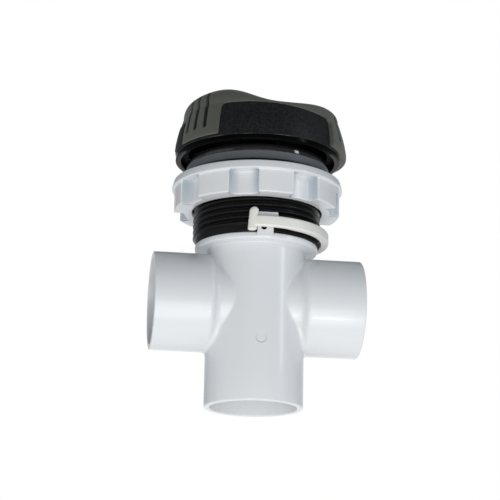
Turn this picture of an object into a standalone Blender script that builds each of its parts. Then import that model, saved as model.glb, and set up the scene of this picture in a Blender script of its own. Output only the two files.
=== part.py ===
"""A three way diverter valve: a moulded tee with three pipe sockets, a threaded collar with its lock nut,
and a handle that turns a gate from one side port to the other. Metres, +Z up the valve's axis, origin at
the centre of the bottom port's rim, side ports along X, key tab towards -Y."""

import math

import bmesh
import bpy
from mathutils import Matrix, Vector

MM = 0.001
GAP = 0.3 * MM
ROUND = 40
SMALL_ROUND = 20
SEAL_ROUND = 24
SEAL_SIDES = 8

# Pipe sockets, for pipe of 60.3 mm outside diameter
SOCKET_R = 34.2 * MM
SOCKET_BORE_R = 30.25 * MM
SOCKET_DEPTH = 38.0 * MM
THROAT_R = 26.5 * MM
PORT_REACH = 72.7 * MM
PORT_AXIS_Z = 72.6 * MM
PORT_NECK_R = 29.6 * MM
PORT_THROAT_R = 25.7 * MM
PORT_SHOULDER = (29.0 * MM, 33.0 * MM)

# Body above the tee
CHAMBER_R = 30.2 * MM
CHAMBER_FLOOR = 44.0 * MM
FLANGE_R = 43.0 * MM
FLANGE_Z = (110.0 * MM, 114.4 * MM)
NECK_R = 37.5 * MM
NECK_TOP = 148.0 * MM
NECK_GROOVE_R = 34.6 * MM
NECK_GROOVE_Z = (140.5 * MM, 143.5 * MM)
KEY_ANGLE = math.radians(-90.0)
KEY_WIDTH = 11.0 * MM
KEY_TOP = 127.6 * MM
KEY_R = (45.1 * MM, 46.0 * MM)
KEY_HEAD_FOOT = 123.8 * MM
KEY_HEAD_END = 9.2 * MM
KEY_FOOT_Z = (111.4 * MM, 114.0 * MM)
KEY_FOOT_INSET = 0.2 * MM

# Collar and its thread
THREAD_PITCH = 25.4 / 6 * MM
THREAD_CREST_R = 44.7 * MM
THREAD_ROOT_R = 42.6 * MM
THREAD_Z = (117.5 * MM, 157.0 * MM)
THREAD_STEPS = 24
COLLAR_BORE_R = 38.2 * MM
COLLAR_FOOT = 114.7 * MM
COLLAR_FLANGE_R = 50.5 * MM
COLLAR_FLANGE_Z = (164.4 * MM, 170.4 * MM)
THREAD_HALF_ROOT = 0.44 * THREAD_PITCH + 0.15 * MM
THREAD_HALF_CREST = 0.09 * THREAD_PITCH
THREAD_SINK = 0.8 * MM

# O-rings: radius of the ring, radius of its section, height
COLLAR_SEAL = (36.2 * MM, 1.25 * MM, 142.0 * MM)
BONNET_SEAL = (28.9 * MM, 1.05 * MM, 141.7 * MM)

# Retaining clip
CLIP_R = (46.9 * MM, 50.8 * MM)
CLIP_Z = (116.4 * MM, 123.3 * MM)
CLIP_EDGE = 1.2 * MM
CLIP_START = math.radians(-102.5)
CLIP_ARC = math.radians(215.0)
FINGER_TOP = 130.0 * MM
FINGER_FOOT = 113.4 * MM
FINGER_R = 3.1 * MM
FINGER_FLATTENING = 0.68
FINGER_TURN = math.radians(2.0)

# Lock nut, washer and gasket
NUT_Z = (138.4 * MM, 160.7 * MM)
NUT_FLANGE_FOOT = 154.6 * MM
NUT_FLANGE_R = (60.3 * MM, 58.9 * MM)
NUT_LUG_R = 58.4 * MM
NUT_RECESS_R = 51.4 * MM
NUT_BORE_R = 45.4 * MM
NUT_MOUTH = 1.6 * MM
NUT_RIM_EDGE = (0.6 * MM, 1.5 * MM)
LUGS = 8
LUG_ARC = math.radians(24.5)
FIRST_LUG = math.radians(5.5)
WASHER_R = (45.4 * MM, 56.5 * MM)
WASHER_Z = (161.0 * MM, 162.0 * MM)
GASKET_R = (45.0 * MM, 50.1 * MM)
GASKET_Z = (162.3 * MM, 164.1 * MM)

# Bonnet and its ring
BONNET_SPIGOT_R = 29.85 * MM
BONNET_Z = (138.0 * MM, 162.0 * MM)
BONNET_DISC_R = 37.4 * MM
BONNET_DISC_TOP = 155.0 * MM
BONNET_WEB_Z = 144.5 * MM
BONNET_WALL_R = 25.6 * MM
BONNET_GROOVE_R = 27.5 * MM
BONNET_GROOVE_Z = (140.3 * MM, 143.1 * MM)
BONNET_HUB_R = 13.0 * MM
STEM_BORE_R = 7.1 * MM
BUSH_R = (6.9 * MM, 9.2 * MM)
BUSH_Z = (150.3 * MM, 161.7 * MM)
THRUST_R = (6.95 * MM, 12.0 * MM)
THRUST_Z = (135.7 * MM, 137.7 * MM)
RING_R = (32.0 * MM, 49.5 * MM)
RING_FOOT = 156.3 * MM
RING_Z = (170.7 * MM, 175.4 * MM)
RING_SPIGOT_R = COLLAR_BORE_R - 0.45 * MM
RING_EDGE = 0.6 * MM

# Stem
STEM_R = 6.6 * MM
STEM_Z = (98.0 * MM, 196.0 * MM)
STEM_SQUARE = 9.0 * MM
SQUARE_HOLE = 9.6 * MM
STEM_SHOULDER_R = 11.0 * MM
STEM_SHOULDER_Z = (132.6 * MM, 135.4 * MM)
STEM_SEAL_Z = (141.5 * MM, 146.5 * MM)
STEM_SEAL_R = (5.95 * MM, 0.85 * MM)
STEM_GROOVE_R = 4.9 * MM
STEM_GROOVE_HALF = 1.3 * MM
STEM_FOOT_SQUARE_TOP = 110.0 * MM
SCREW_HOLE_R = 2.6 * MM

# Rotor
ROTOR_R = 29.6 * MM
ROTOR_BORE_R = 26.3 * MM
GATE_R = 28.4 * MM
ROTOR_Z = (46.8 * MM, 108.0 * MM)
ROTOR_DECK = 103.5 * MM
ROTOR_FOOT = 49.4 * MM
ROTOR_LIP = 2.0 * MM
WEAR_RING_R = (26.6 * MM, 29.8 * MM)
GATE_HALF_ARC = math.radians(72.0)
SEAL_R = (28.7 * MM, 29.9 * MM)
SEAL_HALF_ARC = math.radians(66.0)
SEAL_Z = (49.9 * MM, 98.4 * MM)
SEAL_WINDOW_R = 21.5 * MM
SEAL_WINDOW_Z = PORT_AXIS_Z + 1.5 * MM

# Handle, turned by its rest angle about the valve's axis: its nose points near the +X port
HANDLE_ANGLE = math.radians(8.0)
SKIRT_R = 58.5 * MM
SKIRT_Z = (176.2 * MM, 180.8 * MM)
SKIRT_BORE_R = 54.6 * MM
PANEL_TOP_R = 54.2 * MM
PANEL_TOP = 204.4 * MM
PANEL_MIDDLE = 203.6 * MM
PANEL_SLOPE = 0.025
PANEL_TAIL_ARC = math.radians(43.8)
PANEL_NOSE_ARC = math.radians(45.8)
WINDOW_GAP = math.radians(0.4)
SKIRT_LIP = 4.0 * MM
CORE_R = 51.0 * MM
CAVITY_TOP = 197.6 * MM
CAVITY_TOP_R = 48.0 * MM
CAVITY_FOOT_R = 48.8 * MM
HANDLE_HUB_R = 13.0 * MM
HANDLE_HUB_FOOT = 177.5 * MM
WELL_R = 14.2 * MM
WELL_FLOOR = 199.4 * MM
GRIP_FOOT = 181.2 * MM
SADDLE_TOP = 207.2 * MM
TAIL_HUMP = (-35.0 * MM, 218.3 * MM)
NOSE_HUMP = (40.0 * MM, 211.6 * MM)
HUMP_FALL = 1.4 * MM
SHOULDER_Z = (203.8 * MM, 206.0 * MM)
SHOULDER_WIDTH = (10.0 * MM, 13.5 * MM)
NOSE_SHOULDER = 6.5 * MM
GRIP_R = 58.7 * MM
GRIP_BARREL = 7.0 * MM
GRIP_BARREL_TOP = 211.0 * MM
NOSE = 4.8 * MM
GROOVE_ANGLES = [math.radians(a) for a in (-34.0, -24.3, -14.6, 14.6, 24.3, 34.0)]
GROOVE_WIDTH = 3.2 * MM
GROOVE_DEPTH = 1.8 * MM
GROOVE_Z = (189.5 * MM, 209.0 * MM)
GROOVE_LEAN = math.radians(-8.0)
SPINE_HALF_ARC = math.radians(9.0)
SPINE_TOP = 198.0 * MM
SPINE_R = (57.0 * MM, 58.4 * MM)

# Handle's fastening
SCREW_HEAD_R = 5.0 * MM
SCREW_HEAD_Z = (201.1 * MM, 204.4 * MM)
SCREW_SHANK_R = 2.3 * MM
SCREW_FOOT = 186.0 * MM
SCREW_WASHER_Z = (199.7 * MM, 200.8 * MM)
CAP_R = 13.9 * MM
CAP_Z = (204.0 * MM, 206.8 * MM)
CAP_WALL = 1.8 * MM
SLOT_HALF = (2.4 * MM, 0.6 * MM)
SLOT_DEPTH = 1.6 * MM
SCREW_WASHER_R = 6.5 * MM


def start_scene():
    """Clears the scene and returns the parts' collection and the cutters' collection."""
    for old in list(bpy.data.objects):
        bpy.data.objects.remove(old)
    made = []
    for title in ("three_way_valve", "cutters"):
        group = bpy.data.collections.new(title)
        bpy.context.scene.collection.children.link(group)
        made.append(group)
    return made


PARTS, CUTTERS = start_scene()


def material(name, color, roughness, metallic=0.0):
    made = bpy.data.materials.new(name)
    made.use_nodes = True
    shader = made.node_tree.nodes["Principled BSDF"]
    shader.inputs["Base Color"].default_value = (*color, 1.0)
    shader.inputs["Roughness"].default_value = roughness
    shader.inputs["Metallic"].default_value = metallic
    made.diffuse_color = (*color, 1.0)
    return made


def place(name, mesh, finish=None):
    """Links a mesh as a part where it has a finish, or else as a hidden cutter."""
    obj = bpy.data.objects.new(name, mesh)
    if finish is None:
        CUTTERS.objects.link(obj)
        obj.hide_render = True
        obj.display_type = "WIRE"
    else:
        PARTS.objects.link(obj)
        mesh.materials.append(finish)
    return obj


def mesh_from(bm, name):
    mesh = bpy.data.meshes.new(name)
    bm.to_mesh(mesh)
    bm.free()
    mesh.shade_smooth()
    mesh.set_sharp_from_angle(angle=math.radians(35))
    return mesh


def turned(name, profile, finish=None, steps=ROUND):
    """A solid of revolution about Z. The profile runs down the outer side; a ring's profile then comes
    back up the inner side and closes."""
    mesh = bpy.data.meshes.new(name)
    points = [(radius, 0.0, height) for radius, height in profile]
    edges = [(i, i + 1) for i in range(len(points) - 1)]
    if profile[0][0] > 0:
        edges.append((len(points) - 1, 0))
    mesh.from_pydata(points, edges, [])
    obj = place(name, mesh, finish)
    screw = obj.modifiers.new("turn", "SCREW")
    screw.steps = steps
    screw.render_steps = steps
    screw.use_merge_vertices = True
    screw.merge_threshold = 0.00001
    screw.use_smooth_shade = True
    return obj


def disc(name, radius, z_low, z_high, finish=None, steps=ROUND):
    profile = [(0.0, z_high), (radius, z_high), (radius, z_low), (0.0, z_low)]
    return turned(name, profile, finish, steps)


def ring(name, radii, heights, finish=None, steps=ROUND):
    inner, outer = radii
    low, high = heights
    profile = [(outer, high), (outer, low), (inner, low), (inner, high)]
    return turned(name, profile, finish, steps)


def torus_seal(name, major, minor, height, finish):
    """An O-ring about Z, its section a closed circle that runs down its outer side."""
    profile = []
    for i in range(SEAL_SIDES):
        angle = -math.tau * (i + 0.5) / SEAL_SIDES
        profile.append((major + minor * math.cos(angle), height + minor * math.sin(angle)))
    return turned(name, profile, finish, SEAL_ROUND)


def box(name, low, high, turn=0.0, finish=None):
    bm = bmesh.new()
    low, high = Vector(low), Vector(high)
    bmesh.ops.create_cube(bm, size=1.0)
    bmesh.ops.scale(bm, vec=high - low, verts=bm.verts)
    bmesh.ops.translate(bm, vec=(low + high) / 2, verts=bm.verts)
    bmesh.ops.rotate(bm, cent=(0, 0, 0), matrix=Matrix.Rotation(turn, 3, "Z"), verts=bm.verts)
    return place(name, mesh_from(bm, name), finish)


def lie_along_x(obj):
    """Turns a solid of revolution so that its axis is the side ports' axis."""
    obj.rotation_euler = (0.0, math.pi / 2, 0.0)
    obj.location = (0.0, 0.0, PORT_AXIS_Z)
    return obj


def wedge(name, centre, half_arc, heights, reach=0.09):
    """A sector about Z, up to a straight angle wide each side of its centre line."""
    bm = bmesh.new()
    steps = max(4, round(half_arc / math.radians(7.5)) * 2)
    rim = [centre - half_arc + 2 * half_arc * i / steps for i in range(steps + 1)]
    corners = [(0.0, 0.0)] + [(reach * math.cos(a), reach * math.sin(a)) for a in rim]
    base = bm.faces.new([bm.verts.new((x, y, heights[0])) for x, y in corners])
    grown = bmesh.ops.extrude_face_region(bm, geom=[base])
    top = [v for v in grown["geom"] if isinstance(v, bmesh.types.BMVert)]
    bmesh.ops.translate(bm, vec=(0, 0, heights[1] - heights[0]), verts=top)
    bmesh.ops.recalc_face_normals(bm, faces=bm.faces)
    return place(name, mesh_from(bm, name))


def combine(obj, other, operation):
    step = obj.modifiers.new(f"{operation.lower()}_{other.name}", "BOOLEAN")
    step.operation = operation
    step.solver = "EXACT"
    step.object = other


def cut(obj, *others):
    for other in others:
        combine(obj, other, "DIFFERENCE")


def join(obj, *others):
    for other in others:
        combine(obj, other, "UNION")


WHITE = material("white_plastic", (0.66, 0.70, 0.73), 0.35)
WARM_WHITE = material("clip_plastic", (0.74, 0.72, 0.68), 0.45)
BLACK = material("black_plastic", (0.02, 0.02, 0.024), 0.4)
GLOSS_BLACK = material("gloss_black_plastic", (0.012, 0.012, 0.014), 0.12)
GRIP_GREY = material("grip_rubber", (0.085, 0.085, 0.07), 0.6)
SEAL_BLACK = material("seal_rubber", (0.03, 0.03, 0.03), 0.55)
INNER_GREY = material("inner_plastic", (0.35, 0.36, 0.37), 0.45)
STEEL = material("stainless_steel", (0.6, 0.6, 0.6), 0.3, 1.0)


def build_body():
    """The tee: barrel, side ports, flange, neck and key tab, then the sockets, throats and chamber."""
    profile = [
        (0.0, NECK_TOP),
        (NECK_R, NECK_TOP),
        (NECK_R, NECK_GROOVE_Z[1]),
        (NECK_GROOVE_R, NECK_GROOVE_Z[1]),
        (NECK_GROOVE_R, NECK_GROOVE_Z[0]),
        (NECK_R, NECK_GROOVE_Z[0]),
        (NECK_R, FLANGE_Z[1]),
        (FLANGE_R, FLANGE_Z[1]),
        (FLANGE_R, FLANGE_Z[0]),
        (SOCKET_R, FLANGE_Z[0]),
        (SOCKET_R, 0.0),
        (0.0, 0.0),
    ]
    body = turned("valve_body", profile, WHITE)
    inner, outer = PORT_SHOULDER
    half = [(SOCKET_R, PORT_REACH), (SOCKET_R, outer), (PORT_NECK_R, inner)]
    ports = [(0.0, PORT_REACH)] + half + [(radius, -x) for radius, x in reversed(half)] + [(0.0, -PORT_REACH)]
    join(body, lie_along_x(turned("side_ports", ports)))
    half, (inner, outer) = KEY_WIDTH / 2, KEY_R
    key = box("key", (inner, -half, FLANGE_Z[0] + MM), (outer, half, KEY_TOP), KEY_ANGLE)
    key_head = box("key_head", (inner, 0.0, KEY_HEAD_FOOT), (outer, KEY_HEAD_END, KEY_TOP), KEY_ANGLE)
    low, high = KEY_FOOT_Z
    half, outer = half - KEY_FOOT_INSET, outer - KEY_FOOT_INSET
    key_foot = box("key_foot", (FLANGE_R - 2 * MM, -half, low), (outer, half, high), KEY_ANGLE)
    join(body, key, key_head, key_foot)
    passage = [
        (0.0, NECK_TOP + MM),
        (CHAMBER_R, NECK_TOP + MM),
        (CHAMBER_R, CHAMBER_FLOOR),
        (THROAT_R, CHAMBER_FLOOR),
        (THROAT_R, SOCKET_DEPTH),
        (SOCKET_BORE_R, SOCKET_DEPTH),
        (SOCKET_BORE_R, -MM),
        (0.0, -MM),
    ]
    cut(body, turned("vertical_passage", passage))
    stop, beyond = PORT_REACH - SOCKET_DEPTH, PORT_REACH + MM
    half = [(SOCKET_BORE_R, beyond), (SOCKET_BORE_R, stop), (PORT_THROAT_R, stop)]
    bores = [(0.0, beyond)] + half + [(radius, -x) for radius, x in reversed(half)] + [(0.0, -beyond)]
    cut(body, lie_along_x(turned("side_passage", bores)))
    return body


def helical_ridge():
    """A right-hand thread ridge: its section swept round the collar by one pitch a turn."""
    bm = bmesh.new()
    turns = (THREAD_Z[1] - THREAD_Z[0]) / THREAD_PITCH
    inside = THREAD_ROOT_R - THREAD_SINK
    section = [
        (inside, THREAD_HALF_ROOT),
        (THREAD_CREST_R, THREAD_HALF_CREST),
        (THREAD_CREST_R, -THREAD_HALF_CREST),
        (inside, -THREAD_HALF_ROOT),
    ]
    ring_verts = [bm.verts.new((radius, 0.0, THREAD_Z[0] + height)) for radius, height in section]
    face = bm.faces.new(ring_verts)
    steps = round(turns * THREAD_STEPS)
    bmesh.ops.spin(
        bm, geom=[face] + list(face.verts) + list(face.edges), cent=(0, 0, 0), axis=(0, 0, 1),
        dvec=(0, 0, THREAD_PITCH / THREAD_STEPS), angle=math.tau * steps / THREAD_STEPS, steps=steps,
    )
    bmesh.ops.recalc_face_normals(bm, faces=bm.faces)
    return place("thread_ridge", mesh_from(bm, "thread_ridge"))


def build_collar():
    profile = [
        (COLLAR_FLANGE_R, COLLAR_FLANGE_Z[1]),
        (COLLAR_FLANGE_R, COLLAR_FLANGE_Z[0]),
        (THREAD_ROOT_R, COLLAR_FLANGE_Z[0]),
        (THREAD_ROOT_R, COLLAR_FOOT),
        (COLLAR_BORE_R, COLLAR_FOOT),
        (COLLAR_BORE_R, COLLAR_FLANGE_Z[1]),
    ]
    collar = turned("threaded_collar", profile, BLACK, THREAD_STEPS)
    join(collar, helical_ridge())
    torus_seal("collar_oring", *COLLAR_SEAL, SEAL_BLACK)
    return collar


def build_clip():
    """A C-shaped clip round the collar's foot, with a finger post at its free end."""
    inner, outer = CLIP_R
    low, high = CLIP_Z
    edge = CLIP_EDGE
    profile = [
        (inner + edge, high), (outer - edge, high), (outer, high - edge), (outer, low + edge),
        (outer - edge, low), (inner + edge, low), (inner, low + edge), (inner, high - edge),
    ]
    clip = turned("retaining_clip", profile, WARM_WHITE)
    open_half = (math.tau - CLIP_ARC) / 2
    cut(clip, wedge("clip_opening", CLIP_START - open_half, open_half, (low - MM, high + MM)))
    bm = bmesh.new()
    bmesh.ops.create_cone(
        bm, cap_ends=True, segments=12, radius1=FINGER_R, radius2=FINGER_R, depth=FINGER_TOP - FINGER_FOOT
    )
    bmesh.ops.scale(bm, vec=(FINGER_FLATTENING, 1.0, 1.0), verts=bm.verts)
    bmesh.ops.translate(
        bm, vec=((inner + outer) / 2, 0, (FINGER_TOP + FINGER_FOOT) / 2), verts=bm.verts
    )
    turn = Matrix.Rotation(CLIP_START + FINGER_TURN, 3, "Z")
    bmesh.ops.rotate(bm, cent=(0, 0, 0), matrix=turn, verts=bm.verts)
    join(clip, place("clip_finger", mesh_from(bm, "clip_finger")))
    return clip


def build_nut():
    """A ring nut with a top flange; its lugs are what is left between eight open-bottomed recesses."""
    low, high = NUT_Z
    profile = [
        (NUT_FLANGE_R[1], high),
        (NUT_FLANGE_R[0], NUT_FLANGE_FOOT + NUT_RIM_EDGE[1]),
        (NUT_FLANGE_R[0] - NUT_RIM_EDGE[0], NUT_FLANGE_FOOT),
        (NUT_LUG_R, NUT_FLANGE_FOOT),
        (NUT_LUG_R, low),
        (NUT_BORE_R + NUT_MOUTH, low),
        (NUT_BORE_R, low + NUT_MOUTH),
        (NUT_BORE_R, high),
    ]
    nut = turned("lock_nut", profile, WHITE)
    pitch = math.tau / LUGS
    for i in range(LUGS):
        centre = FIRST_LUG + (i + 0.5) * pitch
        recess = wedge(f"recess_{i + 1}", centre, (pitch - LUG_ARC) / 2, (low - MM, NUT_FLANGE_FOOT))
        cut(recess, disc(f"recess_floor_{i + 1}", NUT_RECESS_R, low - 2 * MM, NUT_FLANGE_FOOT + MM))
        cut(nut, recess)
    ring("slip_washer", WASHER_R, WASHER_Z, BLACK)
    ring("flange_gasket", GASKET_R, GASKET_Z, SEAL_BLACK)
    return nut


def build_bonnet():
    """The bonnet and what it carries: its seal, the stem's bush and the ring that holds it down."""
    foot, top = BONNET_Z
    rim = NECK_TOP + GAP
    profile = [
        (BONNET_HUB_R, top),
        (BONNET_HUB_R, BONNET_DISC_TOP),
        (BONNET_DISC_R, BONNET_DISC_TOP),
        (BONNET_DISC_R, rim),
        (BONNET_SPIGOT_R, rim),
        (BONNET_SPIGOT_R, BONNET_GROOVE_Z[1]),
        (BONNET_GROOVE_R, BONNET_GROOVE_Z[1]),
        (BONNET_GROOVE_R, BONNET_GROOVE_Z[0]),
        (BONNET_SPIGOT_R, BONNET_GROOVE_Z[0]),
        (BONNET_SPIGOT_R, foot),
        (BONNET_WALL_R, foot),
        (BONNET_WALL_R, BONNET_WEB_Z),
        (BONNET_HUB_R, BONNET_WEB_Z),
        (BONNET_HUB_R, foot),
        (STEM_BORE_R, foot),
        (STEM_BORE_R, BUSH_Z[0] - GAP),
        (BUSH_R[1] + GAP, BUSH_Z[0] - GAP),
        (BUSH_R[1] + GAP, top),
    ]
    bonnet = turned("bonnet", profile, INNER_GREY)
    torus_seal("bonnet_oring", *BONNET_SEAL, SEAL_BLACK)
    ring("stem_bush", BUSH_R, BUSH_Z, WARM_WHITE, SMALL_ROUND)
    ring("thrust_washer", THRUST_R, THRUST_Z, WARM_WHITE, SMALL_ROUND)
    profile = [
        (RING_R[1] - RING_EDGE, RING_Z[1]),
        (RING_R[1], RING_Z[1] - RING_EDGE),
        (RING_R[1], RING_Z[0]),
        (RING_SPIGOT_R, RING_Z[0]),
        (RING_SPIGOT_R, RING_FOOT),
        (RING_R[0], RING_FOOT),
        (RING_R[0], RING_Z[1]),
    ]
    turned("bonnet_ring", profile, GLOSS_BLACK)
    return bonnet


def build_stem():
    """The shaft, square at both ends, with two seal grooves and a thrust shoulder."""
    foot, top = STEM_Z
    profile = [(0.0, top), (STEM_R, top)]
    for height in sorted(STEM_SEAL_Z, reverse=True):
        profile += [
            (STEM_R, height + STEM_GROOVE_HALF), (STEM_GROOVE_R, height + STEM_GROOVE_HALF),
            (STEM_GROOVE_R, height - STEM_GROOVE_HALF), (STEM_R, height - STEM_GROOVE_HALF),
        ]
    shoulder_low, shoulder_high = STEM_SHOULDER_Z
    profile += [
        (STEM_R, shoulder_high), (STEM_SHOULDER_R, shoulder_high),
        (STEM_SHOULDER_R, shoulder_low), (STEM_R, shoulder_low),
        (STEM_R, foot), (0.0, foot),
    ]
    stem = turned("stem", profile, INNER_GREY, SMALL_ROUND)
    half = STEM_SQUARE / 2
    ends = {
        "stem_top_square": (HANDLE_HUB_FOOT - MM, top + MM),
        "stem_foot_square": (foot - MM, STEM_FOOT_SQUARE_TOP),
    }
    for title, (low, high) in ends.items():
        blank = disc(f"{title}_blank", 2 * STEM_R, low, high, steps=SMALL_ROUND)
        core = box(title, (-half, -half, low - MM), (half, half, high + MM), HANDLE_ANGLE)
        cut(blank, core)
        cut(stem, blank)
    cut(stem, disc("stem_screw_hole", SCREW_HOLE_R, SCREW_FOOT - 2 * MM, top + MM, steps=SMALL_ROUND))
    for title, height in zip(("stem_oring_lower", "stem_oring_upper"), STEM_SEAL_Z):
        torus_seal(title, *STEM_SEAL_R, height, SEAL_BLACK)
    return stem


def square_hole(name, low, high):
    half = SQUARE_HOLE / 2
    return box(name, (-half, -half, low), (half, half, high), HANDLE_ANGLE)


def build_rotor():
    """A drum under the bonnet with one closed wall, the gate, on the side that the handle's nose points to."""
    foot, top = ROTOR_Z
    lip = ROTOR_DECK - ROTOR_LIP
    profile = [
        (0.0, top), (ROTOR_R, top), (ROTOR_R, lip), (GATE_R, lip), (GATE_R, ROTOR_FOOT),
        (ROTOR_R, ROTOR_FOOT), (ROTOR_R, foot), (ROTOR_BORE_R, foot), (ROTOR_BORE_R, ROTOR_DECK),
        (0.0, ROTOR_DECK),
    ]
    rotor = turned("diverter_rotor", profile, INNER_GREY)
    opening = wedge("rotor_opening", HANDLE_ANGLE + math.pi, math.pi - GATE_HALF_ARC, (ROTOR_FOOT, ROTOR_DECK))
    cut(rotor, opening)
    cut(rotor, square_hole("rotor_square_hole", ROTOR_DECK - 2 * MM, top + MM))
    seal = ring("gate_seal", SEAL_R, SEAL_Z, SEAL_BLACK)
    cut(seal, wedge("seal_ends", HANDLE_ANGLE + math.pi, math.pi - SEAL_HALF_ARC, (SEAL_Z[0] - MM, SEAL_Z[1] + MM)))
    bm = bmesh.new()
    bmesh.ops.create_cone(
        bm, cap_ends=True, segments=SMALL_ROUND, radius1=SEAL_WINDOW_R, radius2=SEAL_WINDOW_R, depth=60 * MM
    )
    bmesh.ops.rotate(bm, cent=(0, 0, 0), matrix=Matrix.Rotation(math.pi / 2, 3, "Y"), verts=bm.verts)
    bmesh.ops.translate(bm, vec=(35 * MM, 0, SEAL_WINDOW_Z), verts=bm.verts)
    bmesh.ops.rotate(bm, cent=(0, 0, 0), matrix=Matrix.Rotation(HANDLE_ANGLE, 3, "Z"), verts=bm.verts)
    cut(seal, place("seal_window", mesh_from(bm, "seal_window")))
    ring("lower_wear_ring", WEAR_RING_R, (CHAMBER_FLOOR + GAP, ROTOR_Z[0] - GAP), WARM_WHITE)
    return rotor


def slant_block(name, lift):
    """A block above the panels' upper edge, which falls towards the nose."""
    bm = bmesh.new()
    bmesh.ops.create_cube(bm, size=1.0)
    bmesh.ops.scale(bm, vec=(3 * SKIRT_R, 3 * SKIRT_R, 20 * MM), verts=bm.verts)
    bmesh.ops.translate(bm, vec=(0, 0, 10 * MM), verts=bm.verts)
    tilt = Matrix.Rotation(math.atan(PANEL_SLOPE), 3, "Y")
    bmesh.ops.rotate(bm, cent=(0, 0, 0), matrix=tilt, verts=bm.verts)
    bmesh.ops.translate(bm, vec=(0, 0, PANEL_MIDDLE + lift), verts=bm.verts)
    bmesh.ops.rotate(bm, cent=(0, 0, 0), matrix=Matrix.Rotation(HANDLE_ANGLE, 3, "Z"), verts=bm.verts)
    return place(name, mesh_from(bm, name))


def build_handle_base():
    """The skirt, the two curved panels, the tail's spine and the hub. Each grip's sector is cut back to the
    core."""
    skirt_low, skirt_high = SKIRT_Z
    profile = [
        (0.0, PANEL_TOP),
        (PANEL_TOP_R - 0.8 * MM, PANEL_TOP),
        (PANEL_TOP_R, PANEL_TOP - 0.8 * MM),
        (SKIRT_R - 0.2 * MM, skirt_high),
        (SKIRT_R, skirt_low + 1.0 * MM),
        (SKIRT_R - 0.6 * MM, skirt_low),
        (SKIRT_BORE_R, skirt_low),
        (SKIRT_BORE_R, skirt_low + SKIRT_LIP),
        (CAVITY_FOOT_R, skirt_high),
        (CAVITY_TOP_R, CAVITY_TOP),
        (HANDLE_HUB_R, CAVITY_TOP),
        (HANDLE_HUB_R, HANDLE_HUB_FOOT),
        (0.0, HANDLE_HUB_FOOT),
    ]
    base = turned("handle_base", profile, BLACK)
    for title, turn, panel_arc in (("nose", 0.0, PANEL_NOSE_ARC), ("tail", math.pi, PANEL_TAIL_ARC)):
        half_grip = math.pi / 2 - panel_arc
        sector = wedge(f"{title}_seat", HANDLE_ANGLE + turn, half_grip, (skirt_high, PANEL_TOP + MM))
        cut(sector, disc(f"{title}_seat_core", CORE_R, skirt_high - MM, PANEL_TOP + 2 * MM))
        cut(base, sector)
    top, foot = SPINE_R
    inside = CORE_R - MM
    spine = turned("tail_spine", [(top, SPINE_TOP), (foot, skirt_high), (inside, skirt_high), (inside, SPINE_TOP)])
    cut(spine, wedge("spine_sides", HANDLE_ANGLE, math.pi - SPINE_HALF_ARC, (skirt_low, PANEL_TOP)))
    join(base, spine)
    slant = slant_block("panel_slant", 0.0)
    cut(slant, disc("panel_slant_core", CORE_R + GAP / 2, PANEL_TOP - 10 * MM, PANEL_TOP + 30 * MM))
    cut(base, slant)
    cut(base, disc("handle_well", WELL_R, WELL_FLOOR, PANEL_TOP + MM, steps=SMALL_ROUND))
    cut(base, square_hole("handle_square_hole", HANDLE_HUB_FOOT - MM, STEM_Z[1] + GAP))
    cut(base, disc("handle_screw_hole", SCREW_HOLE_R + 0.3 * MM, STEM_Z[1] - MM, WELL_FLOOR + MM, steps=SMALL_ROUND))
    return base


def envelope_radius(angle, height):
    """The grips' outer radius at an angle from the nose and at a height: a barrel that narrows upwards,
    with the nose standing out."""
    rise = (height - GRIP_FOOT) / (GRIP_BARREL_TOP - GRIP_FOOT)
    nose = NOSE * max(0.0, math.cos(angle)) ** 2 * (1.0 - 0.25 * rise)
    return GRIP_R - GRIP_BARREL * rise**1.5 + nose


def envelope_top(x):
    """The top's height at a distance along the handle: a hump at each end and a valley between."""
    hump_x, hump_z = NOSE_HUMP if x > 0 else TAIL_HUMP
    share = x / hump_x
    if share < 1.0:
        return SADDLE_TOP + (hump_z - SADDLE_TOP) * math.sin(math.pi / 2 * share) ** 2
    beyond = (abs(x) - abs(hump_x)) / (GRIP_R - abs(hump_x))
    return hump_z - HUMP_FALL * beyond**2


def envelope_point(angle, level):
    """A point of the handle's outer form. The level climbs the wall from 0 to 1, turns over the rounded
    shoulder from 1 to 2 and crosses the top to the centre from 2 to 3."""
    endness = math.cos(angle) ** 2
    shoulder_z = SHOULDER_Z[0] + (SHOULDER_Z[1] - SHOULDER_Z[0]) * endness
    end_width = NOSE_SHOULDER if math.cos(angle) > 0 else SHOULDER_WIDTH[1]
    width = SHOULDER_WIDTH[0] + (end_width - SHOULDER_WIDTH[0]) * endness
    rim = envelope_radius(angle, shoulder_z)
    edge = rim - width
    if level <= 1.0:
        height = GRIP_FOOT + (shoulder_z - GRIP_FOOT) * level
        radius = envelope_radius(angle, height)
    elif level <= 2.0:
        bend = math.pi / 2 * (level - 1.0)
        radius = edge + width * math.cos(bend)
        height = shoulder_z + (envelope_top(edge * math.cos(angle)) - shoulder_z) * math.sin(bend)
    else:
        radius = edge * (3.0 - level)
        height = envelope_top(radius * math.cos(angle))
    return Vector((radius * math.cos(angle), radius * math.sin(angle), height))


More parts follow.
